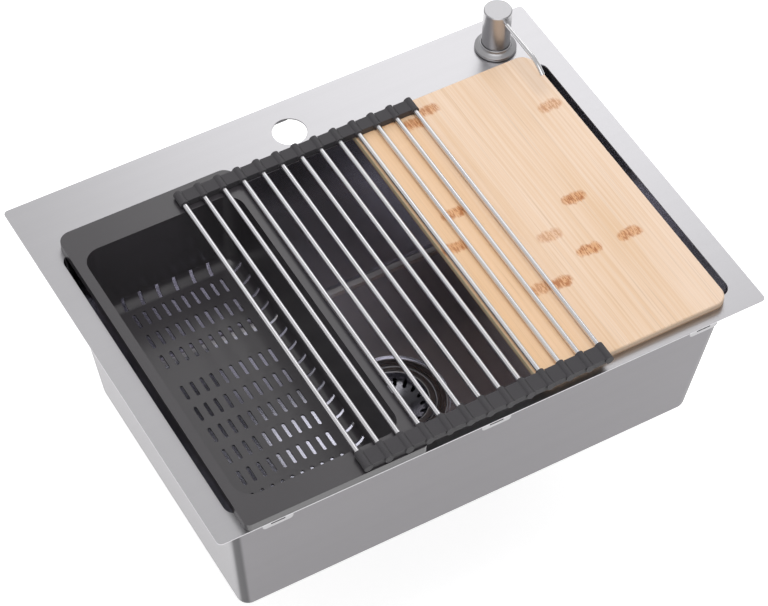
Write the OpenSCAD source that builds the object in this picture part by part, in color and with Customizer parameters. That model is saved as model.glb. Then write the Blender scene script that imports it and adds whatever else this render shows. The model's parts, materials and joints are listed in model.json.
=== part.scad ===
// Drop-in workstation kitchen sink with its colander, cutting board, roll-up rack,
// basket strainer and built-in soap dispenser.
// X runs from left to right, Y from front to back and Z up. The origin is the middle of the
// deck on its underside, the plane that rests on the worktop.

/* [Deck] */
// Width of the deck, left to right
deck_w = 635; // [600:5:700]
// Depth of the deck, front to back
deck_d = 483; // [478:1:510]
// Thickness of the deck sheet
deck_t = 1.5; // [1.2:0.1:2]
// Radius of the deck's corners
deck_corner_r = 5; // [2:1:12]
// Width of the opening
opening_w = 585; // [570:1:588]
// Front edge of the opening
opening_front = -216; // [-218:0.5:-215]
// Back edge of the opening
opening_back = 157; // [155:0.5:158]
// Radius of the opening's corners
opening_r = 12; // [8:1:16]
// Diameter of the tap hole
tap_hole_d = 38.1; // [34:0.1:39]
// Distance of the tap hole from the middle of the deck
tap_y = 198; // [190:1:205]

/* [Bowl] */
// Depth of the bowl below the deck, outside
bowl_depth = 201.5; // [190:0.5:215]
// Thickness of the bowl sheet
bowl_t = 1.5; // [1.2:0.1:2]
// How far the side walls lean in at the floor
bowl_side_lean = 21.5; // [16:0.5:24]
// How far the front wall leans in at the floor
bowl_front_lean = 18; // [12:1:22]
// How far the back wall leans in at the floor
bowl_back_lean = 30; // [20:1:34]
// Radius of the bowl's upright corners and floor edges
bowl_r = 12; // [8:1:15]
// Depth of the round dish that holds the strainer's flange
dish_depth = 2.5; // [2:0.1:4]
// Radius of that dish
dish_r = 60; // [59:0.5:64]
// Diameter of the waste hole
waste_hole_d = 89; // [88.5:0.1:90]
// Middle of the waste, front to back
waste_y = -38; // [-45:1:-30]

/* [Colander] */
// Outer edges of the colander's rim: left
colander_left = -287; // [-288:0.5:-284]
// Outer edges of the colander's rim: right
colander_right = -84; // [-90:0.5:-80]
// Outer edges of the colander's rim: front
colander_front = -241.5; // [-241.5:0.5:-238]
// Outer edges of the colander's rim: back
colander_back = 176.5; // [174:0.5:179]
// Width of the rim at the two sides
rim_side_w = 11; // [10:0.5:14]
// Width of the rim at the front
rim_front_w = 30.5; // [30:0.5:32]
// Width of the rim at the back
rim_back_w = 34.5; // [34:0.5:38]
// Height of the accessories above the deck
top_h = 10; // [9:0.5:12]
// Depth of the colander below its rim, inside
colander_depth = 95; // [85:1:105]
// Thickness of the colander's walls
colander_t = 2.2; // [2:0.1:2.5]
// Middle of the slots in the colander's floor, left to right
slots_x = -181; // [-184:0.5:-180]
// Length of a slot
slot_l = 20; // [16:0.5:22]
// Width of a slot
slot_w = 4; // [3:0.1:4.5]
// Slots in a row
slots_in_row = 10; // [8:1:10]
// Slots through the edge of the floor, along each long side
side_slots = 16; // [12:1:16]
// Slots through the edge of the floor, at each short side
end_slots = 6; // [4:1:6]

/* [Cutting board] */
// Left edge of the board
board_left = 53; // [50:0.5:60]
// Right edge of the board
board_right = 279.5; // [270:0.5:285]
// Front edge of the board
board_front = -229.5; // [-235:0.5:-226]
// Back edge of the board
board_back = 167.5; // [160:0.5:170]
// Radius of the board's corners
board_r = 15; // [8:1:20]

/* [Rack] */
// Number of rods
rods = 13; // [13:1:13]
// Distance between two rods
rod_pitch = 23.15; // [22:0.05:24]
// Diameter of a rod
rod_d = 5.4; // [5:0.1:6.5]
// Place of the first rod, left to right
first_rod_x = -152; // [-156:0.5:-148]
// Diameter of the silicone round a rod
grip_d = 9.4; // [9:0.1:11]
// Front and back ends of the front grip
grip_front = [-241, -219]; // [-245:1:-215]
// Front and back ends of the back grip
grip_back = [147, 165]; // [145:1:168]

/* [Strainer] */
// Radius of the strainer's flange
flange_r = 57; // [56:0.5:58]
// Outer radius of the strainer's cup
cup_r = 43.7; // [43:0.1:44]
// Depth of the strainer's cup
cup_depth = 40; // [36:1:46]
// Number of slots in the basket
basket_slots = 18; // [14:1:20]
// Outer diameter of the tailpiece
tail_d = 38.1; // [38:0.1:38.5]
// Lowest point of the tailpiece
tail_end = -360; // [-380:5:-340]

/* [Soap dispenser] */
// Place of the dispenser, left to right
pump_x = 258.5; // [250:1:262]
// Place of the dispenser, front to back
pump_y = 199.5; // [196:0.5:202]
// Radius of the pump head
head_r = 15.7; // [15.6:0.1:16.5]
// Height of the pump head above the deck
head_top = 59; // [54:0.5:70]
// Travel of the pump
pump_travel = 7; // [6:0.5:9]
// Radius of the collar
collar_r = 23.2; // [22.5:0.1:24]
// Length of the spout's straight run
spout_run = 52; // [40:1:60]
// Radius of the soap bottle
bottle_r = 26; // [22:1:26]

/* [Hidden] */
$fn = 64;
cut = 1;
gap = 0.3;

deck_top = deck_t;
opening_low = [-opening_w / 2, opening_front];
opening_high = [opening_w / 2, opening_back];
seat_z = deck_top + gap;
top_z = deck_top + top_h;

bowl_floor = -bowl_depth + bowl_t;
dish_floor = bowl_floor - dish_depth;
hull_fn = 32;

bracket_x = [-248, 0, 248];
bracket_y = 232;
bracket_w = 34;
bracket_h = 20;
bracket_t = 1.2;
bracket_r = 4;
bracket_leg = 9;
bracket_slot = [16, 2];
bracket_slot_z = -16;

pad_size = [150, 120];
pad_t = 2;
pad_r = 10;
pad_x = 150;

colander_low = [colander_left + rim_side_w, colander_front + rim_front_w];
colander_high = [colander_right - rim_side_w, colander_back - rim_back_w];
colander_mid = (colander_low + colander_high) / 2;
colander_floor = top_z - colander_depth;
colander_lean = 8;
colander_r = 20;
colander_edge_r = 14;
rim_t = 2.5;
rim_r = 14;
rim_front_r = 6;
slot_pitch_x = 11.5;
slot_rows = [106, 75, 44, -2, -33, -64, -95, -126, -157];
edge_slot_w = 4.2;
edge_slot_pitch = 20.3;
edge_slot_reach = 16;

board_bevel = 1.2;

rod_z = top_z + gap + grip_d / 2;
rod_end = 3;
web_h = 7.6;
web_inset = 1.5;
hinge_r = grip_d / 2 + gap;

gasket_t = 3;
gasket_r = 56;
washer_t = 1;
locknut_h = 14;
locknut_r = 50;
locknut_rim_r = 55;
locknut_rim_t = 3;
lug_in = 48;
lug_w = 8;
gasket_top = dish_floor - bowl_t;
locknut_top = gasket_top - gasket_t - washer_t;
cup_wall = 2.2;
cup_floor = dish_floor - cup_depth;
spigot_r = 23.4;
spigot_bore = 19.5;
spigot_end = cup_floor - 22;
cross_t = 3;
cross_hub_r = 5;
tail_washer_t = 2;
tail_flange_t = 1.5;
tail_flange_r = 22.8;
tail_top = spigot_end - tail_washer_t;
tail_wall = 1.25;
tail_neck = 17.5;
tail_step = 0.3;
slip_nut_grip = 14;
slip_nut_h = 34;
slip_nut_r = 27;
slip_rib_r = 2;
basket_lip = dish_floor + 1.1;
seal_t = 3;
slot_in = 30;
slot_out = 33.5;
rib_gap = 4.4;
basket_hole_r = 3.05;

collar_seal_t = 0.8;
collar_z = deck_top + collar_seal_t;
collar_floor_t = 1.5;
collar_floor = collar_z + collar_floor_t;
shank_r = 12.6;
shank_bore = 11;
shank_flange_r = 13.9;
shank_flange_t = 1.2;
shank_end = -62;
shank_hole_r = 15.9;
nut_r = 19.5;
nut_top = -2;
nut_flange_t = 2.5;
nut_low = -14;
barrel_z = collar_floor + shank_flange_t;
barrel_top = barrel_z + 1.8;
barrel_r = 8;
barrel_bore = 6.6;
barrel_end = -78;
stem_r = 3;
piston_z = -26;
piston_h = 6;
spring_turns = 7;
spring_r = 4.6;
spring_wire = 0.6;
spring_low = barrel_end + 2;
head_low = collar_floor + 0.2 + pump_travel;
collar_top = head_low + 0.9;
head_z = deck_top + head_top;
head_wall = 1.5;
cap_low = head_z - 11;
stem_top = head_z - 11.5;
spout_root_r = 2;
spout_root = 2;
spout_r = 2.7;
spout_bore = 1.7;
spout_mouth = 7;
spout_z = head_z - 7.2;
spout_bend = 35;
spout_bend_r = 40;
spout_tip = 4;
neck_r = 17;
neck_top = -46;
neck_low = -72;
bottle_wall = 1.4;
bottle_end = -200;
tube_end = -192;

function two(n) = n < 10 ? str("0", n) : str(n);
link_names = [for (n = [1:rods]) two(n)];

// Flat rectangle between two corners, with round corners
module round_rect(low, high, r) {
    size = high - low;
    translate(low + [r, 0]) square([size[0] - 2 * r, size[1]]);
    translate(low + [0, r]) square([size[0], size[1] - 2 * r]);
    for (x = [low[0] + r, high[0] - r], y = [low[1] + r, high[1] - r]) {
        translate([x, y]) circle(r);
    }
}

// Block with round upright edges
module round_block(low, high, r, z, h) {
    translate([0, 0, z]) linear_extrude(h) round_rect(low, high, r);
}

// Ring round the Z axis
module ring(outer, inner, z, h) {
    difference() {
        translate([0, 0, z]) cylinder(h = h, r = outer);
        translate([0, 0, z - cut]) cylinder(h = h + 2 * cut, r = inner);
    }
}

// Tub that narrows from its mouth to a floor with round edges
module tub(low, high, mouth_r, mouth_z, mouth_h, floor_low, floor_high, floor_r, floor_z) {
    hull() {
        for (x = [low[0] + mouth_r, high[0] - mouth_r], y = [low[1] + mouth_r, high[1] - mouth_r]) {
            translate([x, y, mouth_z]) cylinder(h = mouth_h, r = mouth_r, $fn = hull_fn);
        }
        for (x = [floor_low[0] + floor_r, floor_high[0] - floor_r],
             y = [floor_low[1] + floor_r, floor_high[1] - floor_r]) {
            translate([x, y, floor_z + floor_r]) sphere(r = floor_r, $fn = hull_fn);
        }
    }
}

// Closed skin over a list of rings that all have the same number of points
module sweep(rings) {
    sides = len(rings[0]);
    last = len(rings) - 1;
    polyhedron(
        points = [for (one = rings) each one],
        faces = concat(
            [[for (k = [sides - 1:-1:0]) k]],
            [for (i = [0:last - 1], k = [0:sides - 1])
                [i * sides + k, (i + 1) * sides + (k + 1) % sides, (i + 1) * sides + k]],
            [for (i = [0:last - 1], k = [0:sides - 1])
                [i * sides + k, i * sides + (k + 1) % sides, (i + 1) * sides + (k + 1) % sides]],
            [[for (k = [0:sides - 1]) last * sides + k]]
        )
    );
}

// ---- deck and bowl ----

module deck_plate() {
    color("silver") difference() {
        round_block([-deck_w, -deck_d] / 2, [deck_w, deck_d] / 2, deck_corner_r, 0, deck_t);
        round_block(opening_low, opening_high, opening_r, -cut, deck_t + 2 * cut);
        translate([0, tap_y, -cut]) cylinder(h = deck_t + 2 * cut, d = tap_hole_d);
        translate([pump_x, pump_y, -cut]) cylinder(h = deck_t + 2 * cut, r = shank_hole_r);
    }
}

module bowl() {
    wall = [bowl_t, bowl_t];
    floor_low = opening_low + [bowl_side_lean, bowl_front_lean];
    floor_high = opening_high - [bowl_side_lean, bowl_back_lean];
    color("dimgray") difference() {
        union() {
            tub(opening_low - wall, opening_high + wall, opening_r + bowl_t, -cut, cut,
                floor_low - wall, floor_high + wall, bowl_r + bowl_t, -bowl_depth);
            translate([0, waste_y, dish_floor - bowl_t])
                cylinder(h = dish_depth + bowl_t / 2, r = dish_r + bowl_t);
        }
        tub(opening_low, opening_high, opening_r, -cut, 2 * cut,
            floor_low, floor_high, bowl_r, bowl_floor);
        translate([0, waste_y, dish_floor]) cylinder(h = dish_depth + cut, r = dish_r);
        translate([0, waste_y, dish_floor - bowl_t - cut])
            cylinder(h = bowl_t + 2 * cut, d = waste_hole_d);
    }
}

// Welded tabs under the front and back flanges that take the fixing clips
module mount_brackets() {
    color("gainsboro") for (x = bracket_x, side = [-1, 1]) translate([x, side * bracket_y, 0]) {
        difference() {
            rotate([90, 0, 0]) translate([0, 0, -bracket_t / 2]) linear_extrude(bracket_t)
                round_rect([-bracket_w / 2, -bracket_h], [bracket_w / 2, 0], bracket_r);
            translate([-bracket_slot[0] / 2, -bracket_t, bracket_slot_z])
                cube([bracket_slot[0], 2 * bracket_t, bracket_slot[1]]);
        }
        translate([-bracket_w / 2, side > 0 ? -bracket_leg : 0, -bracket_t])
            cube([bracket_w, bracket_leg, bracket_t]);
    }
}

module sound_pads() {
    color("slategray") for (x = [-pad_x, pad_x]) {
        round_block([x, waste_y] - pad_size / 2, [x, waste_y] + pad_size / 2, pad_r,
                    -bowl_depth - pad_t, pad_t);
    }
}

// ---- strainer ----

module at_waste() {
    translate([0, waste_y, 0]) children();
}

// Flanged cup with an outlet spigot and a cross in its throat
module strainer_body() {
    z = dish_floor;
    bore = cup_r - cup_wall;
    color("dimgray") at_waste() {
        rotate_extrude() polygon([
            [bore, z + 0.8], [45, z + 0.8], [46, z + 2], [flange_r - 1.5, z + 1.6], [flange_r, z + 0.6],
            [flange_r, z], [cup_r, z], [cup_r, cup_floor - 3], [spigot_r + 2, cup_floor - 5],
            [spigot_r, cup_floor - 5], [spigot_r, spigot_end], [spigot_bore, spigot_end],
            [spigot_bore, cup_floor], [bore - 5, cup_floor], [bore, cup_floor + 6]
        ]);
        difference() {
            for (a = [0, 90]) rotate(a)
                translate([-spigot_bore - 0.5, -cross_t / 2, cup_floor - 2 * cross_t])
                    cube([2 * spigot_bore + 1, cross_t, cross_t]);
            ring(spigot_r + 1, spigot_bore + 0.5, cup_floor - 7, 5);
        }
        translate([0, 0, cup_floor - 2 * cross_t - 1]) cylinder(h = cross_t + 1, r = cross_hub_r);
    }
}

module strainer_gasket() {
    color("black") at_waste() ring(gasket_r, cup_r + gap, gasket_top - gasket_t, gasket_t);
}

module friction_washer() {
    color("tan") at_waste() ring(gasket_r, cup_r + gap, gasket_top - gasket_t - washer_t, washer_t);
}

// Large nut with lugs that clamps the strainer to the bowl
module strainer_locknut() {
    color("lightgray") at_waste() difference() {
        union() {
            translate([0, 0, locknut_top - locknut_h]) cylinder(h = locknut_h, r = locknut_r);
            translate([0, 0, locknut_top - locknut_rim_t]) cylinder(h = locknut_rim_t, r = locknut_rim_r);
            for (a = [0:45:315]) rotate(a) translate([lug_in, -lug_w / 2, locknut_top - locknut_h])
                cube([locknut_rim_r - lug_in, lug_w, locknut_h]);
        }
        translate([0, 0, locknut_top - locknut_h - cut])
            cylinder(h = locknut_h + 2 * cut, r = cup_r + 0.25);
    }
}

module tailpiece_washer() {
    color("white") at_waste() ring(tail_flange_r, spigot_bore, tail_top, tail_washer_t);
}

module tailpiece() {
    color("silver") at_waste() difference() {
        union() {
            translate([0, 0, tail_end]) cylinder(h = tail_top - tail_end, d = tail_d);
            translate([0, 0, tail_top - tail_neck]) cylinder(h = tail_neck, r = tail_d / 2 + tail_step);
            translate([0, 0, tail_top - tail_flange_t]) cylinder(h = tail_flange_t, r = tail_flange_r);
        }
        translate([0, 0, tail_end - cut])
            cylinder(h = tail_top - tail_end + 2 * cut, r = tail_d / 2 - tail_wall);
    }
}

// Nut that draws the tailpiece's flange up against the spigot
module slip_nut() {
    low = tail_top - tail_flange_t - slip_nut_grip;
    color("white") at_waste() difference() {
        union() {
            translate([0, 0, low]) cylinder(h = slip_nut_h, r = slip_nut_r);
            for (a = [0:30:330]) rotate(a) translate([slip_nut_r, 0, low])
                cylinder(h = slip_nut_h - 4, r = slip_rib_r);
        }
        translate([0, 0, low - cut]) cylinder(h = slip_nut_h, r = tail_d / 2 + tail_step + gap);
        translate([0, 0, tail_top - tail_flange_t]) cylinder(h = slip_nut_h, r = spigot_r + 0.15);
    }
}

// Slotted basket that lifts out of the cup
module strainer_basket() {
    z = basket_lip;
    color("dimgray") at_waste() difference() {
        rotate_extrude() polygon([
            [0, z - 24], [13, z - 24], [35, z - 11], [37.6, z - 6], [38.8, z], [44.5, z], [44.5, z + 1.2],
            [43.8, z + 1.8], [37.8, z + 1.8], [36.9, z + 0.9], [35.8, z - 5], [33.5, z - 9],
            [12.5, z - 21.6], [12.5, z - 18], [0, z - 18]
        ]);
        for (n = [1:basket_slots]) rotate(n * 360 / basket_slots)
            translate([0, 0, z - 28]) linear_extrude(24) {
                translate([slot_in, -rib_gap / 2]) square([slot_out - slot_in, rib_gap]);
                for (r = [slot_in, slot_out]) translate([r, 0]) circle(rib_gap / 2, $fn = 16);
            }
        translate([0, 0, z - 30]) cylinder(h = 20, r = basket_hole_r);
    }
}

// Post with the knob that pulls the basket up
module basket_knob() {
    z = basket_lip;
    color("silver") at_waste() rotate_extrude() polygon([
        [0, cup_floor + gap + seal_t + 0.2], [3, cup_floor + gap + seal_t + 0.2], [3, z - 17.8],
        [5.5, z - 17.8], [5, z - 14], [4.2, z - 2], [6.5, z], [7.5, z + 2.5], [7, z + 4.5], [5, z + 5.6],
        [0, z + 6]
    ]);
}

module basket_seal() {
    color("black") at_waste() rotate_extrude() polygon([
        [0, cup_floor + gap], [27, cup_floor + gap], [28, cup_floor + gap + 1],
        [26, cup_floor + gap + seal_t], [0, cup_floor + gap + seal_t]
    ]);
}

// ---- soap dispenser ----

module at_pump() {
    translate([pump_x, pump_y, 0]) children();
}

module dispenser_collar() {
    z = collar_z;
    bore = head_r + 0.4;
    color("darkgray") at_pump() rotate_extrude() polygon([
        [shank_r + 0.2, z], [collar_r - 0.6, z], [collar_r, z + 0.6], [collar_r, z + 2.8],
        [collar_r - 0.5, z + 3.7], [collar_r - 1.7, z + 4.3], [bore + 3.2, z + 5.4],
        [bore + 1.9, z + 6.7], [bore + 1.3, collar_top - 0.8], [bore + 0.9, collar_top - 0.2],
        [bore + 0.5, collar_top], [bore, collar_top], [bore, collar_floor],
        [shank_r + 0.2, collar_floor]
    ]);
}

module collar_seal() {
    color("black") at_pump() ring(21, shank_hole_r + 1, deck_top, collar_seal_t);
}

// Threaded tube that passes through the deck
module dispenser_shank() {
    color("silver") at_pump() difference() {
        union() {
            translate([0, 0, shank_end]) cylinder(h = barrel_z - shank_end, r = shank_r);
            translate([0, 0, collar_floor]) cylinder(h = shank_flange_t, r = shank_flange_r);
        }
        translate([0, 0, shank_end - cut]) cylinder(h = barrel_z - shank_end + 2 * cut, r = shank_bore);
    }
}

module shank_washer() {
    color("black") at_pump() ring(nut_r, shank_r + 0.2, nut_top, -nut_top);
}

module shank_nut() {
    color("whitesmoke") at_pump() difference() {
        union() {
            translate([0, 0, nut_top - nut_flange_t]) cylinder(h = nut_flange_t, r = nut_r);
            translate([0, 0, nut_low]) cylinder(h = nut_top - nut_low - 1, r = nut_r - 3);
            for (a = [45:90:315]) rotate(a) translate([nut_r - 4.5, -1.5, nut_low])
                cube([4.3, 3, nut_top - nut_low - 1]);
        }
        translate([0, 0, nut_low - cut]) cylinder(h = nut_top - nut_low + 2 * cut, r = shank_r + 0.15);
    }
}

module soap_bottle() {
    wall = bottle_wall;
    color("gainsboro") at_pump() rotate_extrude() polygon([
        [0, bottle_end], [bottle_r - 4, bottle_end], [bottle_r - 1, bottle_end + 1],
        [bottle_r, bottle_end + 4], [bottle_r, neck_low - 12], [bottle_r - 0.9, neck_low - 8],
        [bottle_r - 3.4, neck_low - 4.6], [neck_r, neck_low], [neck_r, neck_top],
        [shank_r + 0.15, neck_top], [shank_r + 0.15, neck_low + 1], [neck_r - wall, neck_low - 1],
        [bottle_r - 4.4, neck_low - 6], [bottle_r - wall - 0.7, neck_low - 9],
        [bottle_r - wall, neck_low - 13], [bottle_r - wall, bottle_end + 5],
        [bottle_r - 5, bottle_end + wall], [0, bottle_end + wall]
    ]);
}

// Pump cylinder that hangs in the shank by its flange
module pump_barrel() {
    color("white") at_pump() rotate_extrude() polygon([
        [2, barrel_end - 8], [3.2, barrel_end - 8], [3.2, barrel_end], [barrel_r, barrel_end],
        [barrel_r, barrel_z], [12.4, barrel_z], [12.4, barrel_top], [stem_r + gap, barrel_top],
        [stem_r + gap, barrel_z], [barrel_bore, barrel_z - 1.5], [barrel_bore, spring_low],
        [2, spring_low]
    ]);
}

module dip_tube() {
    color("white") at_pump() ring(4.2, 3.25, tube_end, barrel_end - 1 - tube_end);
}

// Return spring: a round wire swept along a helix
module pump_spring() {
    steps = 14 * spring_turns;
    low = spring_low + 0.1 + spring_wire;
    rise = (piston_z - 0.1 - spring_wire - low) / steps;
    color("silver") at_pump() sweep([for (i = [0:steps])
        let (turn = i * 360 * spring_turns / steps)
        [for (k = [0:60:300]) let (r = spring_r + spring_wire * cos(k))
            [r * cos(turn), r * sin(turn), low + i * rise + spring_wire * sin(k)]]]);
}

module pump_stem() {
    color("white") at_pump() {
        translate([0, 0, piston_z]) cylinder(h = piston_h, r = barrel_bore - 0.2);
        translate([0, 0, piston_z]) cylinder(h = stem_top - piston_z, r = stem_r);
    }
}

// Cap of the pump, open below, with a socket for the stem
module pump_head() {
    bore = head_r - head_wall;
    color("darkgray") at_pump() difference() {
        rotate_extrude() polygon([
            [bore, head_low], [head_r - 0.3, head_low], [head_r, head_low + 0.3], [head_r, head_z - 1],
            [head_r - 1, head_z], [0, head_z], [0, stem_top + gap], [stem_r + 0.05, stem_top + gap],
            [stem_r + 0.05, stem_top - 14], [6, stem_top - 14], [6, cap_low], [bore, cap_low]
        ]);
        translate([0, spout_root - head_r + 0.1, spout_z]) rotate([90, 0, 0])
            cylinder(h = spout_root + cut, r = spout_root_r + 0.02);
    }
}

// Middle of the spout where it has turned down by an angle: a straight run, then a bend
function spout_at(angle) = [spout_run, 0] + spout_bend_r * [sin(angle), cos(angle) - 1];

// Circle round a point of the spout, square to its direction
function spout_ring(at, angle, r) = [for (k = [337.5:-22.5:0])
    [r * cos(k), -at[0] - r * sin(k) * sin(angle), at[1] + r * sin(k) * cos(angle)]];

// Thin curved tube that points to the front and dips at its tip, with a mouth
module pump_spout() {
    ahead = [cos(spout_bend), -sin(spout_bend)];
    tip = spout_at(spout_bend) + spout_tip * ahead;
    color("darkgray") translate([pump_x, pump_y - head_r, spout_z]) sweep(concat(
        [spout_ring([-spout_root, 0], 0, spout_root_r), spout_ring([1, 0], 0, spout_root_r)],
        [for (a = [0:5:spout_bend]) spout_ring(spout_at(a), a, spout_r)],
        [spout_ring(tip, spout_bend, spout_r), spout_ring(tip, spout_bend, spout_bore)],
        [spout_ring(tip - spout_mouth * ahead, spout_bend, spout_bore)]
    ));
}

// ---- colander ----

module colander() {
    wall = [colander_t, colander_t];
    lean = [colander_lean, colander_lean];
    color("dimgray") {
        difference() {
            union() {
                tub(colander_low - wall, colander_high + wall, colander_r + colander_t,
                    top_z - rim_t, rim_t / 2,
                    colander_low + lean - wall, colander_high - lean + wall, colander_edge_r + colander_t,
                    colander_floor - colander_t);
                colander_rim();
            }
            tub(colander_low, colander_high, colander_r, top_z - rim_t / 2, rim_t / 2 + cut,
                colander_low + lean, colander_high - lean, colander_edge_r, colander_floor);
            floor_slots();
            edge_slots();
        }
    }
}

// Outline of the rim: its corners are rounder at the back than at the front
module rim_outline(inset) {
    low = [colander_left + inset, colander_front + inset];
    high = [colander_right - inset, colander_back - inset];
    round_rect(low, high, rim_r - inset);
    round_rect(low, [high[0], low[1] + 3 * rim_r], rim_front_r - inset);
}

// Flat rim with a skirt that stands on the deck
module colander_rim() {
    translate([0, 0, top_z - rim_t]) linear_extrude(rim_t) rim_outline(0);
    difference() {
        translate([0, 0, seat_z]) linear_extrude(top_z - seat_z) rim_outline(0);
        translate([0, 0, seat_z - cut]) linear_extrude(top_z - seat_z - rim_t / 2) rim_outline(rim_t);
    }
}

module floor_slots() {
    half = (slots_in_row - 1) / 2;
    for (y = slot_rows, n = [0:slots_in_row - 1])
        translate([slots_x + (n - half) * slot_pitch_x, y, colander_floor - colander_t - cut])
            linear_extrude(colander_t + 2 * cut) {
                translate([-slot_w / 2, (slot_w - slot_l) / 2]) square([slot_w, slot_l - slot_w]);
                for (s = [-1, 1]) translate([0, s * (slot_l - slot_w) / 2]) circle(slot_w / 2, $fn = 16);
            }
}

// Slots that run down the rounded edge between wall and floor
module edge_slots() {
    side_half = (side_slots - 1) / 2;
    end_half = (end_slots - 1) / 2;
    lean = [colander_lean, colander_lean];
    low = colander_low + lean;
    high = colander_high - lean;
    for (n = [0:side_slots - 1], x = [low[0], high[0]])
        translate([x, colander_mid[1] + (n - side_half) * edge_slot_pitch, colander_floor])
            rotate([0, 45, 0]) cube([edge_slot_reach, edge_slot_w, edge_slot_reach], center = true);
    for (n = [0:end_slots - 1], y = [low[1], high[1]])
        translate([colander_mid[0] + (n - end_half) * edge_slot_pitch, y, colander_floor])
            rotate([45, 0, 0]) cube([edge_slot_w, edge_slot_reach, edge_slot_reach], center = true);
}

// ---- cutting board ----

module cutting_board() {
    low = [board_left, board_front];
    high = [board_right, board_back];
    bevel = [board_bevel, board_bevel];
    color("burlywood") hull() {
        round_block(low, high, board_r, seat_z + board_bevel, top_z - seat_z - 2 * board_bevel);
        round_block(low + bevel, high - bevel, board_r - board_bevel, seat_z, top_z - seat_z);
    }
}

// ---- roll-up rack ----

function rod_x(n) = first_rod_x + (n - 1) * rod_pitch;

module along_y(x, z, y0, y1, r) {
    translate([x, y0, z]) rotate([-90, 0, 0]) cylinder(h = y1 - y0, r = r);
}

module rack_rod(n) {
    color("lightgray") along_y(rod_x(n), rod_z, grip_front[0] + rod_end, grip_back[1] - rod_end, rod_d / 2);
}

// One link of the silicone end strips: a sleeve round the rod, and the web to the rod on its left
module rack_grip(n) {
    color("darkslategray") difference() {
        union() for (end = [grip_front, grip_back]) {
            along_y(rod_x(n), rod_z, end[0], end[1], grip_d / 2);
            if (n > 1) difference() {
                translate([rod_x(n - 1), end[0] + web_inset, rod_z - grip_d / 2])
                    cube([rod_pitch, end[1] - end[0] - 2 * web_inset, web_h]);
                along_y(rod_x(n - 1), rod_z, end[0] - cut, end[1] + cut, hinge_r);
            }
        }
        along_y(rod_x(n), rod_z, grip_front[0] + rod_end, grip_back[1] - rod_end, rod_d / 2 + 0.05);
    }
}

deck_plate();
bowl();
mount_brackets();
sound_pads();
strainer_body();
strainer_gasket();
friction_washer();
strainer_locknut();
tailpiece_washer();
tailpiece();
slip_nut();
strainer_basket();
basket_knob();
basket_seal();
dispenser_collar();
collar_seal();
dispenser_shank();
shank_washer();
shank_nut();
soap_bottle();
pump_barrel();
dip_tube();
pump_spring();
pump_stem();
pump_head();
pump_spout();
colander();
cutting_board();
for (n = [1:rods]) {
    rack_rod(n);
    rack_grip(n);
}
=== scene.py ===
import json
import math

import bmesh
import bpy
from mathutils import Matrix, Vector


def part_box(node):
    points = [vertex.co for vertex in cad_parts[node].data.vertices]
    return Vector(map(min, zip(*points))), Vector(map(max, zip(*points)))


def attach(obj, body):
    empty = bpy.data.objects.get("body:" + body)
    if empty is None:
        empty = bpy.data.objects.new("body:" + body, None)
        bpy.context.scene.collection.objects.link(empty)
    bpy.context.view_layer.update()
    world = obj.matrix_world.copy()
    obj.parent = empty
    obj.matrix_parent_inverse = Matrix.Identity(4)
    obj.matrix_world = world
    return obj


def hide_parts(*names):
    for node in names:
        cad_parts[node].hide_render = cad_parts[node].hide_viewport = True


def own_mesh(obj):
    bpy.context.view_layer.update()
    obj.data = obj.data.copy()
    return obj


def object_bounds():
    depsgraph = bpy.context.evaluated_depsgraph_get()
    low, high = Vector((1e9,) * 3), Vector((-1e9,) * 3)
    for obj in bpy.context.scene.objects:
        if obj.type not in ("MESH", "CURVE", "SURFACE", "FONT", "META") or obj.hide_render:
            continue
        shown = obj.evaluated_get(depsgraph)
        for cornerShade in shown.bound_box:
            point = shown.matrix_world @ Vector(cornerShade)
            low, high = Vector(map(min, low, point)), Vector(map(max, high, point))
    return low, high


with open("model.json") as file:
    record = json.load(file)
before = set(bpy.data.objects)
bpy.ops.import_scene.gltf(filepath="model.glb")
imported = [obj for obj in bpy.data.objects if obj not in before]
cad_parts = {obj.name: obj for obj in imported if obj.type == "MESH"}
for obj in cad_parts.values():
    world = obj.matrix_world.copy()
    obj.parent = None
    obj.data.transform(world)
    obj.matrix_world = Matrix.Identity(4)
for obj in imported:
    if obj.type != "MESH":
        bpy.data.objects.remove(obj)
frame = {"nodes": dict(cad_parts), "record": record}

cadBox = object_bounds()
scene = bpy.context.scene
nodes = frame["nodes"]
record = frame["record"]
behaviour = record["behaviour"]
bodyOf = {name: body for body, members in behaviour["bodies"].items() for name in members}
slotOf = {part["node"]: part["material_slot"] for part in record["subparts"]}
jointOf = {joint["name"]: joint for joint in behaviour["joints"]}
mountAt = {mount["name"]: mount["pos_m"] for mount in record["mounts"]}
mm = 0.001

# the camera comes first, high at the front left
view = {
    "at": (-1.0442, -1.7290, 2.3869),
    "look": (0.3290, 0.5421, -0.7733),
    "up": (0.3729, 0.6777, 0.6337),
    "lens": 141.48,
    "film": 36.0,
    "reach": 30.0,
}


def addCamera():
    look = Vector(view["look"]).normalized()
    right = look.cross(Vector(view["up"])).normalized()
    up = right.cross(look)
    data = bpy.data.cameras.new("camera")
    data.lens = view["lens"]
    data.sensor_width = view["film"]
    data.clip_end = view["reach"]
    camera = bpy.data.objects.new("camera", data)
    turn = Matrix((right, up, -look)).transposed().to_4x4()
    camera.matrix_world = Matrix.Translation(view["at"]) @ turn
    scene.collection.objects.link(camera)
    scene.camera = camera


addCamera()
print("camera placed")


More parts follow.
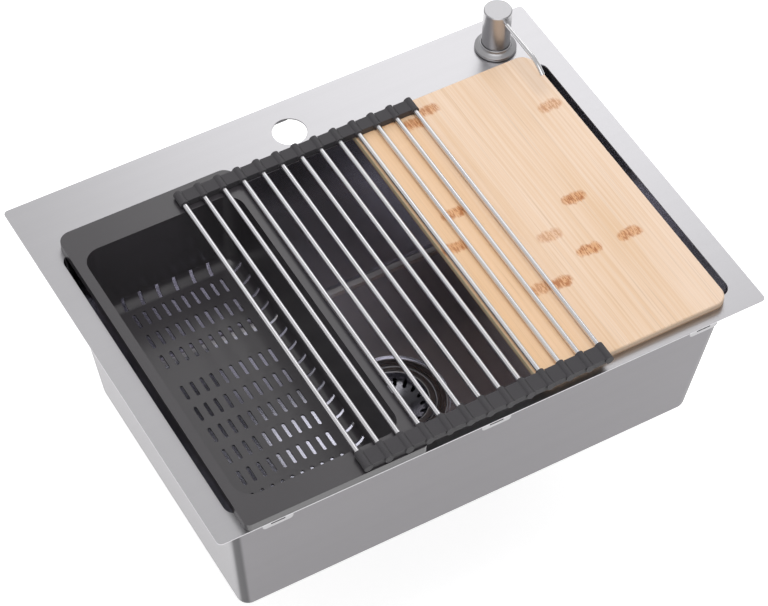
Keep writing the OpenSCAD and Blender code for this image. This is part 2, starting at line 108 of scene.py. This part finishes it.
class Field:
    # one output of a node; + - * and / with a number or another field add Math nodes
    def __init__(self, finish, socket):
        self.finish = finish
        self.socket = socket

    def __add__(self, other):
        return self.finish.math("ADD", self, other)

    __radd__ = __add__

    def __sub__(self, other):
        return self.finish.math("SUBTRACT", self, other)

    def __rsub__(self, other):
        return self.finish.math("SUBTRACT", other, self)

    def __mul__(self, other):
        return self.finish.math("MULTIPLY", self, other)

    __rmul__ = __mul__

    def __truediv__(self, other):
        return self.finish.math("DIVIDE", self, other)

    def __rtruediv__(self, other):
        return self.finish.math("DIVIDE", other, self)

    def clamp(self):
        return self.finish.math("ADD", self, 0.0, use_clamp=True)


class Finish:
    # a material, or the world, built from nodes
    def __init__(self, owner):
        self.owner = owner if isinstance(owner, bpy.types.ID) else bpy.data.materials.new(owner)
        self.owner.use_nodes = True
        self.tree = self.owner.node_tree
        self.tree.nodes.clear()
        self.places = None

    def node(self, kind, settings=None, out=0, **sockets):
        # a socket is given by its name, with _ for a space, or as i and its number
        made = self.tree.nodes.new(kind)
        for key, value in (settings or {}).items():
            setattr(made, key, value)
        for key, value in sockets.items():
            self.feed(made.inputs[int(key[1:]) if key[1:].isdigit() else key.replace("_", " ")], value)
        return Field(self, made.outputs[out]) if made.outputs else None

    def feed(self, socket, value):
        if isinstance(value, Field):
            self.tree.links.new(value.socket, socket)
        elif hasattr(socket.default_value, "__len__") and len(socket.default_value) == 4:
            socket.default_value = (*value, 1.0) if len(value) == 3 else value
        else:
            socket.default_value = value

    def math(self, operation, *values, use_clamp=False):
        numbered = {f"i{n}": value for n, value in enumerate(values)}
        return self.node("ShaderNodeMath", {"operation": operation, "use_clamp": use_clamp}, **numbered)

    def vector(self, operation, *values, out=0):
        numbered = {f"i{n}": value for n, value in enumerate(values)}
        return self.node("ShaderNodeVectorMath", {"operation": operation}, out, **numbered)

    def place(self):
        # metres in the piece's own frame, which moves with it
        if self.places is None:
            self.places = self.node("ShaderNodeTexCoord", out="Object")
        return self.places

    def facing(self):
        return self.node("ShaderNodeTexCoord", out="Normal")

    def axes(self, of=None):
        split = self.node("ShaderNodeSeparateXYZ", Vector=of or self.place()).socket.node
        return [Field(self, socket) for socket in split.outputs]

    def rays(self, *kinds):
        # 1 where the ray is one of these kinds
        path = self.node("ShaderNodeLightPath").socket.node.outputs
        return sum(Field(self, path[kind]) for kind in kinds).clamp()

    def noise(self, stretch, detail=2.0, rough=0.5):
        # the stretch is how many spots to a metre, for all axes or for each
        each = stretch if isinstance(stretch, tuple) else (stretch, stretch, stretch)
        where = self.vector("MULTIPLY", self.place(), each)
        return self.node("ShaderNodeTexNoise", Vector=where, Scale=1.0, Detail=detail, Roughness=rough)

    def ramp(self, value, low, high):
        steps = {"interpolation_type": "SMOOTHSTEP"}
        return self.node("ShaderNodeMapRange", steps, i0=value, i1=low, i2=high)

    def mix(self, amount, first, second):
        return self.node("ShaderNodeMix", {"data_type": "RGBA"}, 2, i0=amount, i6=first, i7=second)

    def shade(self, colour, amount):
        # a colour made lighter or darker by a field
        tone = self.node("ShaderNodeCombineColor", i0=amount, i1=amount, i2=amount)
        return self.node("ShaderNodeMix", {"data_type": "RGBA", "blend_type": "MULTIPLY"}, 2,
                         i0=1.0, i6=colour, i7=tone)

    def bump(self, height, distance):
        return self.node("ShaderNodeBump", Height=height, Distance=distance, Strength=1.0)

    def surface(self, **sockets):
        shader = self.node("ShaderNodeBsdfPrincipled", **sockets)
        self.node("ShaderNodeOutputMaterial", Surface=shader)
        return self.owner


# upright axes of the turned pieces
pumpLow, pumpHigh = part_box("pump_head")
pumpAxis = ((pumpLow[0] + pumpHigh[0]) / 2, (pumpLow[1] + pumpHigh[1]) / 2, 0.0)
wasteAxis = (*mountAt["waste_outlet"][:2], 0.0)


# what all the brushed steel shares
brushing = {
    "fine": {"detail": 3.0, "rough": 0.65},
    "broadening": 0.12,
    "cloud": {"stretch": 7.0, "detail": 3.0},
    "tone": 0.93,
    "fineTone": 0.05,
    "broadTone": 0.04,
    "cloudTone": 0.05,
    "smoothing": 0.04,
    "fineRough": 0.04,
    "cloudRough": 0.05,
    "broadBump": 0.5,
}
# the cut wall round the tap hole, painted dark: a painted shade
holeWallShade = {
    "middle": (*mountAt["tap_hole"][:2], 0.0),
    "radius": 20.5 * mm,
    "upright": 0.6,
    "colour": (0.14, 0.14, 0.145),
}
brushedPieces = {
    "deck_steel": {
        "name": "deck_brushed",
        "colour": (0.60, 0.592, 0.612),
        "rough": 0.31,
        "streak": (4.0, 700.0, 700.0),
        "depth": 0.006 * mm,
        "hole": holeWallShade,
    },
    "bracket_steel": {
        "name": "tab_steel",
        "colour": (0.46, 0.455, 0.465),
        "rough": 0.38,
        "streak": (4.0, 300.0, 300.0),
        "depth": 0.02 * mm,
    },
    "spring_steel": {
        "name": "spring_wire",
        "colour": (0.55, 0.55, 0.56),
        "rough": 0.30,
        "streak": (500.0, 500.0, 500.0),
        "depth": 0.01 * mm,
    },
    "rod_steel": {
        "name": "rod_drawn",
        "colour": (0.84, 0.83, 0.855),
        "rough": 0.27,
        "streak": (900.0, 6.0, 900.0),
        "depth": 0.002 * mm,
    },
}


def brushedFinish(name, colour, rough, streak, depth, hole=None):
    f = Finish(name)
    fine = f.noise(streak, **brushing["fine"])
    broad = f.noise(tuple(s * brushing["broadening"] for s in streak))
    cloud = f.noise(**brushing["cloud"])
    tone = brushing["tone"] + fine * brushing["fineTone"] + broad * brushing["broadTone"]
    metal = f.shade(colour, tone + cloud * brushing["cloudTone"])
    # painted shade: the upright wall of the tap hole takes a dark colour
    if hole:
        away = f.vector("DISTANCE", f.place(), hole["middle"], out="Value")
        upright = f.math("LESS_THAN", f.axes(f.facing())[2], hole["upright"])
        metal = f.mix(f.math("LESS_THAN", away, hole["radius"]) * upright, metal, hole["colour"])
    worn = fine * brushing["fineRough"] + cloud * brushing["cloudRough"]
    return f.surface(
        Base_Color=metal, Metallic=1.0, Roughness=rough - brushing["smoothing"] + worn,
        Normal=f.bump(fine + broad * brushing["broadBump"], depth))


bowlLook = {
    "heart": (0.0, -0.03, -0.10),  # the coated faces are the ones turned to this point
    "coatEdge": (0.0, 0.004),
    "wall": (0.60, 0.585, 0.625),
    # painted highlight: the inside's floor is paler than its walls
    "floor": (0.82, 0.82, 0.95),
    "floorHighlightTurn": (0.7, 0.95),
    # painted highlight: paler and less metallic along the inside's bends
    "bend": (0.78, 0.76, 0.80),
    "bendTurn": (0.40, 0.48),
    # painted shade: the coating darker close under the deck
    "shadeDepth": (-0.07, -0.012),
    "underDeckShade": 0.55,
    "sheen": 0.09,
    "bendSheen": 0.35,
    # painted light: the outside is darker on its front faces and lighter on its left and right faces, with a
    # painted dark band at the rounded corners between them
    "front": (0.240, 0.232, 0.243),
    "side": (0.37, 0.362, 0.376),
    "sideTurn": (0.6, 0.9),
    "cornerShade": (0.10, 0.098, 0.103),
    "cornerShadeStart": (0.2, 0.5),
    "cornerShadeEnd": (0.75, 0.97),
    "across": {"stretch": (4.0, 4.0, 420.0), "detail": 3.0, "rough": 0.65},
    "broad": {"stretch": (1.5, 1.5, 40.0)},
    "cloud": {"stretch": 9.0, "detail": 3.0},
    "tone": 0.90,
    "acrossTone": 0.09,
    "broadTone": 0.07,
    "cloudTone": 0.04,
    "coatTone": 0.8,
    "coatCloud": 0.4,
    "rough": 0.36,
    "acrossRough": 0.06,
    "coatGloss": 0.19,
    "depth": 0.02 * mm,
}


def bowlFinish():
    # brushed steel outside, painted darker on its front faces, lighter on its left and right faces and with
    # painted shade along its upright corners; inside it is glossy, mirrors its own dark walls, and has a
    # painted highlight on its floor and along its bends
    f = Finish("bowl_coat")
    facing = f.facing()
    toHeart = f.vector("SUBTRACT", bowlLook["heart"], f.place())
    coated = f.ramp(f.vector("DOT_PRODUCT", facing, toHeart, out="Value"), *bowlLook["coatEdge"])
    across = f.noise(**bowlLook["across"])
    broad = f.noise(**bowlLook["broad"])
    cloud = f.noise(**bowlLook["cloud"])
    turnX, turnY, turnZ = f.axes(f.vector("ABSOLUTE", facing))
    # painted light: the front faces take the darker steel, the left and right faces the lighter
    metal = f.mix(f.ramp(turnX, *bowlLook["sideTurn"]), bowlLook["front"], bowlLook["side"])
    # painted shade: a dark band round the rounded corners between the front and the sides
    cornerShade = f.ramp(turnX, *bowlLook["cornerShadeStart"]) * (1.0 - f.ramp(turnX, *bowlLook["cornerShadeEnd"]))
    metal = f.mix(cornerShade, metal, bowlLook["cornerShade"])
    tone = bowlLook["tone"] + across * bowlLook["acrossTone"] + broad * bowlLook["broadTone"]
    metal = f.shade(metal, tone + cloud * bowlLook["cloudTone"])
    # painted highlight: a pale band along the bends
    bend = f.ramp(f.math("MAXIMUM", turnX, turnY) * turnZ, *bowlLook["bendTurn"])
    # painted highlight: the floor of the coating paler than the walls
    coat = f.mix(f.ramp(turnZ, *bowlLook["floorHighlightTurn"]), bowlLook["wall"], bowlLook["floor"])
    coat = f.shade(coat, bowlLook["coatTone"] + cloud * bowlLook["coatCloud"])
    coat = f.mix(bend, coat, bowlLook["bend"])
    # painted shade: darker close under the deck
    coat = f.shade(coat, 1.0 - f.ramp(f.axes()[2], *bowlLook["shadeDepth"]) * bowlLook["underDeckShade"])
    return f.surface(
        Base_Color=f.mix(coated, metal, coat),
        Metallic=1.0 - coated * (bowlLook["sheen"] + bend * bowlLook["bendSheen"]),
        Roughness=bowlLook["rough"] + across * bowlLook["acrossRough"] - coated * bowlLook["coatGloss"],
        Normal=f.bump(across, bowlLook["depth"]))


# what the plastic, rubber, card and silicone share
moulding = {
    "speck": {"detail": 2.0, "rough": 0.6},
    "cloud": {"stretch": 14.0, "detail": 3.0},
    "rub": {"stretch": 60.0, "detail": 4.0, "rough": 0.6},
    "tone": 0.86,
    "cloudTone": 0.20,
    "speckTone": 0.08,
    "smoothing": 0.05,
    "rubRough": 0.10,
    "coatRough": 0.2,
}
mouldedPieces = {
    "pad_rubber": {
        "name": "sound_pad", "colour": (0.10, 0.10, 0.105), "rough": 0.85, "grain": 500.0, "depth": 0.4 * mm,
    },
    "seal_rubber": {
        "name": "black_rubber", "colour": (0.022, 0.022, 0.023), "rough": 0.62, "grain": 900.0,
        "depth": 0.1 * mm,
    },
    "fibre_card": {
        "name": "fibre_card", "colour": (0.42, 0.33, 0.21), "rough": 0.85, "grain": 700.0, "depth": 0.3 * mm,
    },
    "white_plastic": {
        "name": "white_plastic", "colour": (0.78, 0.78, 0.76), "rough": 0.45, "grain": 600.0,
        "depth": 0.04 * mm,
    },
    "colander_plastic": {
        "name": "colander_grain", "colour": (0.045, 0.041, 0.046), "rough": 0.34, "grain": 1100.0,
        "depth": 0.06 * mm, "coat": 0.9,
    },
    "grip_silicone": {
        "name": "grip_silicone", "colour": (0.048, 0.045, 0.050), "rough": 0.60, "grain": 800.0,
        "depth": 0.08 * mm, "sheen": 0.1,
    },
}


def mouldedFinish(name, colour, rough, grain, depth, sheen=0.0, coat=0.0):
    # a fine grain and faint clouding
    f = Finish(name)
    speck = f.noise(grain, **moulding["speck"])
    cloud = f.noise(**moulding["cloud"])
    rub = f.noise(**moulding["rub"])
    tone = moulding["tone"] + cloud * moulding["cloudTone"] + speck * moulding["speckTone"]
    return f.surface(
        Base_Color=f.shade(colour, tone), Metallic=0.0,
        Roughness=rough - moulding["smoothing"] + rub * moulding["rubRough"],
        Sheen_Weight=sheen, Coat_Weight=coat, Coat_Roughness=moulding["coatRough"],
        Normal=f.bump(speck, depth))


# what all the turned metal shares
turning = {
    "lines": 900.0,
    "lineDetail": 3.0,
    "lineRough": 0.6,
    "cloud": {"stretch": 40.0, "detail": 3.0},
    "tone": 0.90,
    "lineTone": 0.12,
    "cloudTone": 0.06,
    "smoothing": 0.04,
    "lineWear": 0.08,
    "cloudWear": 0.04,
}
# thin pale rings on the strainer's edges, painted highlights
strainerHighlightRings = {
    "radii": (56.6 * mm, 45.4 * mm, 37.8 * mm),
    "fade": (0.2 * mm, 0.7 * mm),
    "colour": (0.68, 0.67, 0.70),
    "haze": 0.5,
}
turnedPieces = {
    "strainer_coating": {
        "name": "strainer_dark", "colour": (0.42, 0.415, 0.46), "rough": 0.26, "axis": wasteAxis,
        "depth": 0.02 * mm, "rings": strainerHighlightRings,
    },
    "nut_metal": {
        "name": "cast_nut", "colour": (0.55, 0.55, 0.56), "rough": 0.42, "axis": wasteAxis,
        "depth": 0.05 * mm,
    },
    "tail_chrome": {
        "name": "tail_polish", "colour": (0.80, 0.80, 0.82), "rough": 0.12, "axis": wasteAxis,
        "depth": 0.005 * mm,
    },
    "knob_steel": {
        "name": "knob_turned", "colour": (0.30, 0.30, 0.31), "rough": 0.25, "axis": wasteAxis,
        "depth": 0.01 * mm,
    },
    "dispenser_nickel": {
        "name": "nickel_brushed", "colour": (0.50, 0.495, 0.51), "rough": 0.30, "axis": pumpAxis,
        "depth": 0.004 * mm,
    },
    "shank_brass": {
        "name": "plated_brass", "colour": (0.58, 0.55, 0.47), "rough": 0.30, "axis": pumpAxis,
        "depth": 0.02 * mm,
    },
}
# the spout shares the dispenser's slot; it is smoother, and painted lighter as a painted highlight
spoutBrightLook = {
    "name": "spout_polished", "colour": (0.78, 0.775, 0.79), "rough": 0.16, "axis": pumpAxis,
    "depth": 0.002 * mm,
}


def turnedFinish(name, colour, rough, axis, depth, rings=None):
    # metal turned or brushed round an upright axis
    f = Finish(name)
    flat = f.vector("MULTIPLY", f.vector("SUBTRACT", f.place(), axis), (1.0, 1.0, 0.0))
    away = f.vector("LENGTH", flat, out="Value")
    height = f.axes()[2]
    lines = f.node("ShaderNodeCombineXYZ", X=away * turning["lines"], Y=height * turning["lines"], Z=0.0)
    fine = f.node("ShaderNodeTexNoise", Vector=lines, Scale=1.0, Detail=turning["lineDetail"],
                  Roughness=turning["lineRough"])
    cloud = f.noise(**turning["cloud"])
    metal = f.shade(colour, turning["tone"] + fine * turning["lineTone"] + cloud * turning["cloudTone"])
    metallic = 1.0
    # painted highlights: pale, less metallic rings at the given radii
    if rings:
        gaps = [f.math("ABSOLUTE", away - radius) for radius in rings["radii"]]
        ringHighlight = sum(1.0 - f.ramp(gap, *rings["fade"]) for gap in gaps)
        metal = f.mix(ringHighlight, metal, rings["colour"])
        metallic = 1.0 - ringHighlight * rings["haze"]
    worn = fine * turning["lineWear"] + cloud * turning["cloudWear"]
    return f.surface(
        Base_Color=metal, Metallic=metallic, Roughness=rough - turning["smoothing"] + worn,
        Normal=f.bump(fine, depth))


bamboo = {
    "pale": (0.91, 0.70, 0.54),
    "warm": (0.80, 0.54, 0.33),
    # painted shade of the rack: the board's left part, under the rods, is darker and more orange
    "rackShade": (0.86, 0.56, 0.31),
    "rackShadeSide": (0.12, 0.155),
    "rackShadeShare": 0.6,
    "endGrain": (0.90, 0.68, 0.50),
    "longSide": (0.86, 0.72, 0.48),
    # painted shade: the board's sides darker and browner at the foot
    "footShade": (0.56, 0.37, 0.22),
    "footShadeHeight": (4.0 * mm, 6.2 * mm),
    "strip": 21.5 * mm,
    "seam": (0.485, 0.5),
    "seamDark": 0.08,
    "lines": {"stretch": (330.0, 2.0, 330.0), "detail": 5.0, "rough": 0.75},
    "fibre": {"stretch": (900.0, 7.0, 900.0), "rough": 0.6},
    "cloud": {"stretch": (14.0, 4.0, 14.0), "detail": 3.0},
    "lineEdge": (0.34, 0.68),
    "lineShare": 0.7,
    "stripShare": 0.45,
    "cloudShare": 1.1,
    "drift": 0.03,
    "fibreEdge": (0.56, 0.72),
    "fibreDark": 0.12,
    "endTurn": (0.4, 0.8),
    "topTurn": (0.35, 0.75),
    "edgeTone": 0.8,
    "edgeFibre": 0.4,
    "lineBump": 0.5,
    "rough": 0.42,
    "fibreRough": 0.14,
    "varnish": 0.06,
    "varnishRough": 0.3,
    "depth": 0.04 * mm,
}
# the dark knots in the bamboo: x and y in millimetres, and how strong each is
knots = {
    "places": [(260, 89, 0.6), (212, -36, 1.0), (188, -104, 1.0), (237, -105, 0.9), (162, -68, 0.45),
               (138, -128, 0.9), (118, -124, 0.6), (90, 6, 0.9), (66, -35, 0.9), (117, 136, 0.9),
               (94, 154, 0.6), (140, 146, 0.8)],
    "size": (13.5 * mm, 6.5 * mm),
    "waver": 10.0 * mm,
    "fade": (0.15, 2.0),
    "wiggle": {"stretch": (150.0, 60.0, 150.0), "detail": 3.0, "rough": 0.6},
    "stroke": {"stretch": (560.0, 120.0, 560.0), "rough": 0.7},
    "strokeEdge": (0.42, 0.58),
    "halo": (0.74, 0.35, 0.13),
    "haloShare": 0.35,
    "haloWiggle": 0.75,
    "dark": (0.42, 0.14, 0.04),
    "darkShare": 0.9,
}


def knotMask(f, x, y, wiggle):
    # flattened ovals with wavering edges, strongest in their middles
    most = 0.0
    for knotX, knotY, strength in knots["places"]:
        across = (x - knotX * mm) / knots["size"][0]
        along = (y - knotY * mm + (wiggle - 0.5) * knots["waver"]) / knots["size"][1]
        oval = across * across * across * across + along * along
        most = f.math("MAXIMUM", most, (1.0 - f.ramp(oval, *knots["fade"])) * strength)
    return most


def bambooFinish():
    f = Finish("bamboo_wood")
    x, y, z = f.axes()
    across = x / bamboo["strip"]
    tone = f.node("ShaderNodeTexWhiteNoise", {"noise_dimensions": "1D"}, W=f.math("FLOOR", across))
    lines = f.noise(**bamboo["lines"])
    fibre = f.noise(**bamboo["fibre"])
    cloud = f.noise(**bamboo["cloud"])
    warm = f.ramp(lines, *bamboo["lineEdge"]) * bamboo["lineShare"]
    warm = warm + (tone - 0.5) * bamboo["stripShare"] + (cloud - 0.5) * bamboo["cloudShare"]
    wood = f.mix(warm.clamp(), bamboo["pale"], bamboo["warm"])
    # painted shade of the rack: darker orange on the board's left part, under the rods
    rackShade = 1.0 - f.ramp(x + cloud * bamboo["drift"], *bamboo["rackShadeSide"])
    wood = f.mix(rackShade * bamboo["rackShadeShare"], wood, bamboo["rackShade"])
    wood = f.shade(wood, 1.0 - f.ramp(fibre, *bamboo["fibreEdge"]) * bamboo["fibreDark"])
    seam = f.ramp(f.math("ABSOLUTE", f.math("FRACT", across) - 0.5), *bamboo["seam"])
    wood = f.shade(wood, 1.0 - seam * bamboo["seamDark"])
    wiggle = f.noise(**knots["wiggle"])
    mask = knotMask(f, x, y, wiggle)
    halo = mask * (knots["haloShare"] + wiggle * knots["haloWiggle"])
    wood = f.mix(halo.clamp(), wood, knots["halo"])
    stroke = f.ramp(f.noise(**knots["stroke"]), *knots["strokeEdge"])
    wood = f.mix((mask * stroke * knots["darkShare"]).clamp(), wood, knots["dark"])
    # the sides of the board, with painted shade making them browner at the foot
    turnY, turnZ = f.axes(f.vector("ABSOLUTE", f.facing()))[1:]
    edge = f.mix(f.ramp(turnY, *bamboo["endTurn"]), bamboo["longSide"], bamboo["endGrain"])
    edge = f.mix(f.ramp(z, *bamboo["footShadeHeight"]), bamboo["footShade"], edge)
    edge = f.shade(edge, bamboo["edgeTone"] + fibre * bamboo["edgeFibre"])
    wood = f.mix(1.0 - f.ramp(turnZ, *bamboo["topTurn"]), wood, edge)
    return f.surface(
        Base_Color=wood, Metallic=0.0, Roughness=bamboo["rough"] + fibre * bamboo["fibreRough"],
        Coat_Weight=bamboo["varnish"], Coat_Roughness=bamboo["varnishRough"],
        Normal=f.bump(lines * bamboo["lineBump"] + fibre, bamboo["depth"]))


bottle = {
    "colour": (0.86, 0.88, 0.89),
    "ripple": {"stretch": (30.0, 30.0, 12.0)},
    "tone": 0.92,
    "rippleTone": 0.1,
    "rough": 0.16,
    "rippleRough": 0.08,
    "clearness": 0.75,
    "bending": 1.45,
    "depth": 0.3 * mm,
}


def bottleFinish():
    f = Finish("clear_bottle")
    ripple = f.noise(**bottle["ripple"])
    return f.surface(
        Base_Color=f.shade(bottle["colour"], bottle["tone"] + ripple * bottle["rippleTone"]),
        Roughness=bottle["rough"] + ripple * bottle["rippleRough"],
        Transmission_Weight=bottle["clearness"], IOR=bottle["bending"],
        Normal=f.bump(ripple, bottle["depth"]))


finishes = {"bowl_coating": bowlFinish(), "bamboo": bambooFinish(), "bottle_plastic": bottleFinish()}
for slot, look in brushedPieces.items():
    finishes[slot] = brushedFinish(**look)
for slot, look in mouldedPieces.items():
    finishes[slot] = mouldedFinish(**look)
for slot, look in turnedPieces.items():
    finishes[slot] = turnedFinish(**look)
ownFinish = {"pump_spout": turnedFinish(**spoutBrightLook)}
print("finishes:", len(finishes) + len(ownFinish))


# millimetres of rounding on each piece's edges; the spring keeps its own
edges = {
    "deck_plate": 0.25, "bowl": 0.3, "mount_brackets": 0.2, "sound_pads": 0.6, "colander": 0.5,
    "cutting_board": 0.5, "strainer_body": 0.25, "strainer_basket": 0.25, "basket_knob": 0.3,
    "strainer_locknut": 0.4, "slip_nut": 0.5, "tailpiece": 0.2, "dispenser_collar": 0.3,
    "pump_head": 0.35, "shank_nut": 0.4, "soap_bottle": 0.3, "pump_spout": 0.15, "pump_spring": 0.0,
}
edges.update({name: 0.6 for name in nodes if name.startswith("rack_grip")})
softening = {"weld": 0.002 * mm, "flat": math.radians(0.6), "crease": math.radians(32.0), "steps": 2,
             "evenness": 80}


def cleanMesh(name):
    # the piece's mesh again, with flat stretches merged into single faces
    mesh = nodes[name].data.copy()
    mesh.name = name + "_mesh"
    for extra in [a.name for a in mesh.attributes if a.name == "custom_normal"]:
        mesh.attributes.remove(mesh.attributes[extra])
    bm = bmesh.new()
    bm.from_mesh(mesh)
    bmesh.ops.remove_doubles(bm, verts=bm.verts, dist=softening["weld"])
    bmesh.ops.dissolve_limit(bm, angle_limit=softening["flat"], verts=bm.verts, edges=bm.edges)
    bm.to_mesh(mesh)
    bm.free()
    mesh.shade_smooth()
    mesh.set_sharp_from_angle(angle=softening["crease"])
    return mesh


def softCopy(name, width):
    # stands for the piece, with soft edges and even round faces
    piece = bpy.data.objects.new(name + "_finished", cleanMesh(name))
    scene.collection.objects.link(piece)
    if width:
        bevel = piece.modifiers.new("edges", "BEVEL")
        bevel.limit_method = "ANGLE"
        bevel.angle_limit = softening["crease"]
        bevel.width = width
        bevel.segments = softening["steps"]
        bevel.harden_normals = True
        bevel.miter_outer = "MITER_ARC"
    even = piece.modifiers.new("even", "WEIGHTED_NORMAL")
    even.keep_sharp = not width
    even.weight = softening["evenness"]
    final = bpy.data.meshes.new_from_object(piece.evaluated_get(bpy.context.evaluated_depsgraph_get()))
    piece.modifiers.clear()
    piece.data = final
    final.materials.clear()
    final.materials.append(ownFinish.get(name, finishes[slotOf[name]]))
    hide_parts(name)
    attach(piece, bodyOf[name])
    return piece


spring = {"name": "pump_spring", "joint": "pump_press"}


def shortenSpring(piece):
    # the share of its length that the pump's stroke takes is worked out but not used; the piece only gets a
    # mesh of its own
    low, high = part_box(spring["name"])
    stroke = jointOf[spring["joint"]]["range_m"][1]
    1.0 - stroke / (high[2] - low[2])
    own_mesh(piece)


for name in nodes:
    if name in edges:
        piece = softCopy(name, edges[name] * mm)
        if name == spring["name"]:
            shortenSpring(piece)
        print("finished", name)
    else:
        slots = nodes[name].data.materials
        slots.clear()
        slots.append(finishes[slotOf[name]])
print("pieces dressed")


studio = {
    "floor": cadBox[0][2] - 2.0 * mm,
    "floorSize": 14.0,
    "floorColour": (0.80, 0.80, 0.80),
    "floorGlow": 0.72,
    "front": 0.54,
    "back": 0.75,
    "rise": (-0.7, 0.5),
    "box": {"toward": (-0.35, -0.60, 0.72), "spread": (0.80, 0.93), "strength": 1.3},
    "glow": {"at": (1.5, 2.05, 1.9), "aim": (0.2, 0.1, 0.0), "size": 2.0, "watts": 9.5, "mirrored": True},
    "key": {"at": (-0.15, -0.05, 2.4), "aim": (0, 0, 0), "size": 1.4, "watts": 27.5, "mirrored": False},
}


def addFloor():
    # nearly white to the camera and in the metal, with a faint shadow
    half = studio["floorSize"] / 2
    corners = [(x * half, y * half, studio["floor"]) for x, y in ((-1, -1), (1, -1), (1, 1), (-1, 1))]
    mesh = bpy.data.meshes.new("floor")
    mesh.from_pydata(corners, [], [(0, 1, 2, 3)])
    floor = bpy.data.objects.new("floor", mesh)
    scene.collection.objects.link(floor)
    f = Finish("pale_floor")
    matte = f.node("ShaderNodeBsdfDiffuse", Color=studio["floorColour"])
    clear = f.rays("Is Camera Ray", "Is Glossy Ray", "Is Transmission Ray")
    glow = f.node("ShaderNodeEmission", Strength=clear * studio["floorGlow"])
    f.node("ShaderNodeOutputMaterial", Surface=f.node("ShaderNodeAddShader", i0=matte, i1=glow))
    mesh.materials.append(f.owner)


def addWorld():
    # brighter behind than in front; metal also mirrors a soft box high at the front left
    w = Finish(bpy.data.worlds.new("studio"))
    toward = w.node("ShaderNodeTexCoord", out="Generated")
    backward = w.ramp(w.axes(toward)[1], *studio["rise"])
    sky = studio["front"] + backward * (studio["back"] - studio["front"])
    nearness = w.vector("DOT_PRODUCT", toward, studio["box"]["toward"], out="Value")
    box = w.ramp(nearness, *studio["box"]["spread"]) * w.rays("Is Glossy Ray") * studio["box"]["strength"]
    direct = w.rays("Is Camera Ray", "Is Transmission Ray")
    light = w.node("ShaderNodeBackground", Strength=direct + (1.0 - direct) * (sky + box))
    w.node("ShaderNodeOutputWorld", Surface=light)
    scene.world = w.owner


def addLamp(name):
    what = studio[name]
    data = bpy.data.lights.new(name, "AREA")
    data.shape = "DISK"
    data.size = what["size"]
    data.energy = what["watts"]
    lamp = bpy.data.objects.new(name, data)
    lamp.visible_camera = False
    lamp.visible_glossy = what["mirrored"]
    aim = Vector(what["aim"]) - Vector(what["at"])
    lamp.matrix_world = Matrix.Translation(what["at"]) @ aim.to_track_quat("-Z", "Y").to_matrix().to_4x4()
    scene.collection.objects.link(lamp)


addFloor()
addWorld()
addLamp("glow")
addLamp("key")
scene.view_settings.view_transform = "Standard"
print("studio lit")
